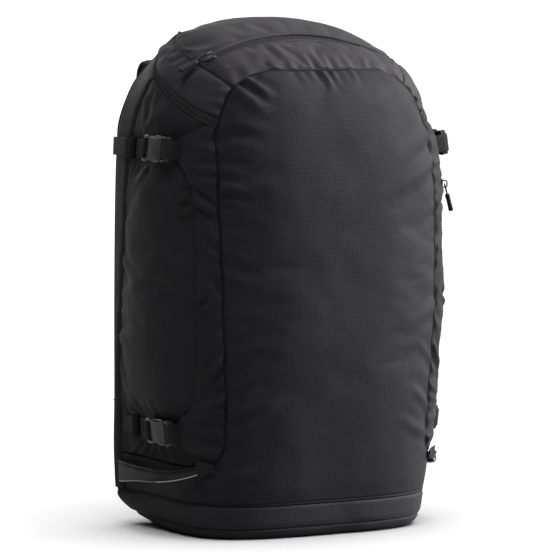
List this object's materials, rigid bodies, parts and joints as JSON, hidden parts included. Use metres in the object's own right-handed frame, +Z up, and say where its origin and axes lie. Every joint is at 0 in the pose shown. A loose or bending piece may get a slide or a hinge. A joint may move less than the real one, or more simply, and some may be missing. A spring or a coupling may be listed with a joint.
{
  "type": "ski boot bag",
  "caption": "Backpack-style ski boot bag: bulging fabric body with hollow boot compartment, fold-forward zip lid, side release-buckle straps, ski loops and padded shoulder straps.",
  "frame": {"origin": "middle of the flat base panel, on the floor", "axes": "+Z up along the bag's height, -Y towards the bag's front, +X to its right as seen from the front"},
  "size_m": [0.3696, 0.2735, 0.563],
  "materials": {
    "ripstop": "matte ripstop, charcoal",
    "side_weave": "fine plain weave, black",
    "twill": "twill, charcoal",
    "base_fabric": "coated plain weave, black",
    "webbing": "woven webbing, black",
    "buckle": "moulded, fine texture",
    "zip_tape": "ribbed coil tape, black",
    "slider": "satin black",
    "cord": "braided, black",
    "grip": "moulded, black",
    "back_mesh": "spacer mesh, black",
    "pad": "foam-backed fabric, charcoal"
  },
  "bodies": {
    "bag": {"back_panel": "back_mesh", "base_band": "base_fabric", "base_panel": "base_fabric", "front_panel": "ripstop", "left_back_pad": "pad", "left_ladder_lock": "buckle", "left_lower_buckle_female": "buckle", "left_lower_keeper": "webbing", "left_lower_stub": "webbing", "left_lower_webbing": "webbing", "left_shoulder_strap": "pad", "left_side_panel": "side_weave", "left_ski_loop": "webbing", "left_strap_webbing": "webbing", "left_upper_buckle_female": "buckle", "left_upper_keeper": "webbing", "left_upper_stub": "webbing", "left_upper_webbing": "webbing", "left_wing": "ripstop", "lower_front_panel": "ripstop", "lumbar_pad": "pad", "main_zip_lower": "zip_tape", "right_back_pad": "pad", "right_ladder_lock": "buckle", "right_lower_buckle_female": "buckle", "right_lower_keeper": "webbing", "right_lower_stub": "webbing", "right_lower_webbing": "webbing", "right_shoulder_strap": "pad", "right_side_panel": "side_weave", "right_ski_loop": "webbing", "right_strap_webbing": "webbing", "right_upper_buckle_female": "buckle", "right_upper_keeper": "webbing", "right_upper_stub": "webbing", "right_upper_webbing": "webbing", "right_wing": "ripstop"},
    "lid": {"main_zip_upper": "zip_tape", "lid_front_panel": "ripstop", "top_front_panel": "twill", "top_rear_panel": "twill", "left_top_gusset": "twill", "right_top_gusset": "twill", "lid_back_wall": "twill", "top_zip_tape": "zip_tape"},
    "top_slider": {"top_zip_slider": "slider"},
    "top_pull": {"top_pull_cord": "cord", "top_pull_grip": "grip"},
    "pocket_slider": {"pocket_slider": "slider"},
    "pocket_pull": {"pocket_pull_cord": "cord", "pocket_pull_grip": "grip"},
    "main_slider": {"main_slider": "slider"},
    "main_pull": {"main_pull_cord": "cord", "main_pull_grip": "grip"},
    "grab_handle": {"grab_handle": "webbing"},
    "left_upper_buckle": {"left_upper_buckle_male": "buckle"},
    "left_lower_buckle": {"left_lower_buckle_male": "buckle"},
    "right_upper_buckle": {"right_upper_buckle_male": "buckle"},
    "right_lower_buckle": {"right_lower_buckle_male": "buckle"}
  },
  "joints": [
    {"name": "lid_fold", "type": "hinge", "parent": "bag", "child": "lid", "pos_m": [0, -0.11285, 0.43658], "axis": [1, 0, 0], "range_deg": [0, 100]},
    {"name": "top_slider_run", "type": "hinge", "parent": "lid", "child": "top_slider", "pos_m": [0, -0.09402, 0.27239], "axis": [0, 0.9682, -0.2501], "range_deg": [0, 47.2]},
    {"name": "top_pull_flip", "type": "hinge", "parent": "top_slider", "child": "top_pull", "pos_m": [-0.11433, -0.03184, 0.52558], "axis": [-0.107, 0.9376, 0.3309], "range_deg": [0, 100]},
    {"name": "pocket_slider_run", "type": "slide", "parent": "bag", "child": "pocket_slider", "axis": [0, 0, -1], "range_m": [0, 0.12]},
    {"name": "pocket_pull_flip", "type": "hinge", "parent": "pocket_slider", "child": "pocket_pull", "pos_m": [0.16729, -0.06427, 0.37943], "axis": [-0.4614, -0.8872, 0], "range_deg": [0, 95]},
    {"name": "main_slider_run", "type": "slide", "parent": "bag", "child": "main_slider", "axis": [-1, 0, 0], "range_m": [0, 0.06617]},
    {"name": "main_pull_flip", "type": "hinge", "parent": "main_slider", "child": "main_pull", "pos_m": [0.03309, 0.08947, 0.52943], "axis": [1, 0, 0], "range_deg": [0, 110]},
    {"name": "grab_handle_lift", "type": "hinge", "parent": "bag", "child": "grab_handle", "pos_m": [0, 0.101, 0.456], "axis": [1, 0, 0], "range_deg": [-20, 60]},
    {"name": "left_upper_buckle_slide", "type": "slide", "parent": "bag", "child": "left_upper_buckle", "axis": [0, 1, 0], "range_m": [0, 0.026]},
    {"name": "left_lower_buckle_slide", "type": "slide", "parent": "bag", "child": "left_lower_buckle", "axis": [0, 1, 0], "range_m": [0, 0.026]},
    {"name": "right_upper_buckle_slide", "type": "slide", "parent": "bag", "child": "right_upper_buckle", "axis": [0, 1, 0], "range_m": [0, 0.026]},
    {"name": "right_lower_buckle_slide", "type": "slide", "parent": "bag", "child": "right_lower_buckle", "axis": [0, 1, 0], "range_m": [0, 0.026]}
  ]
}
